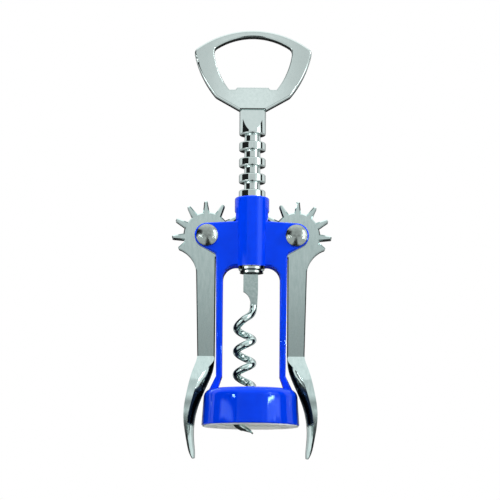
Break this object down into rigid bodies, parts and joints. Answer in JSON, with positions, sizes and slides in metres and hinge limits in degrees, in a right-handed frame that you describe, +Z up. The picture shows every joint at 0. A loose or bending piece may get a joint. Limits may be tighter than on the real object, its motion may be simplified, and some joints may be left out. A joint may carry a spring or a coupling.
{
  "type": "wing corkscrew",
  "caption": "Wing corkscrew: an offset worm on a ribbed spindle that two toothed levers raise out of a blue frame, with a crown-cap opener as its head.",
  "frame": {"origin": "centre of the bell's rim, on the spindle's axis, where the mouth of a bottle comes in", "axes": "+Z up along the spindle to the opener's head; +X across the levers, to the right seen from the front; +Y to the back"},
  "size_m": [0.0664, 0.0402, 0.1798],
  "materials": {
    "blue_enamel": "bright blue gloss enamel on a zinc casting",
    "pale_nylon": "pale grey moulded nylon",
    "chrome_rivet": "domed, polished chrome plate",
    "chrome_lever": "chrome plate on a zinc casting",
    "chrome_spindle": "chrome plate on a zinc casting",
    "chrome_collar": "polished chrome plate",
    "plated_steel": "plated spring-steel wire",
    "bare_steel": "bare steel pin"
  },
  "bodies": {
    "frame": {"frame": "blue_enamel", "bell_liner": "pale_nylon", "left_rivet": "chrome_rivet", "right_rivet": "chrome_rivet"},
    "collar": {"end_collar": "chrome_collar"},
    "spindle": {"opener_spindle": "chrome_spindle", "worm": "plated_steel", "worm_pin": "bare_steel"},
    "left_wing": {"left_lever": "chrome_lever"},
    "right_wing": {"right_lever": "chrome_lever"}
  },
  "joints": [
    {"name": "spindle_slide", "type": "slide", "parent": "frame", "child": "collar", "axis": [0, 0, -1], "range_m": [0, 0.0363]},
    {"name": "spindle_turn", "type": "hinge", "parent": "collar", "child": "spindle", "pos_m": [0, 0, 0.06355], "axis": [0, 0, 1], "continuous": true},
    {"name": "left_swing", "type": "hinge", "parent": "frame", "child": "left_wing", "pos_m": [-0.01857, 0, 0.079], "axis": [0, 1, 0], "range_deg": [0, 160.2]},
    {"name": "right_swing", "type": "hinge", "parent": "frame", "child": "right_wing", "pos_m": [0.01857, 0, 0.079], "axis": [0, -1, 0], "range_deg": [0, 160.2]}
  ],
  "couplings": [
    {"joint": "left_swing", "follows": "spindle_slide", "rad_per_m": 77},
    {"joint": "right_swing", "follows": "spindle_slide", "rad_per_m": 77}
  ]
}
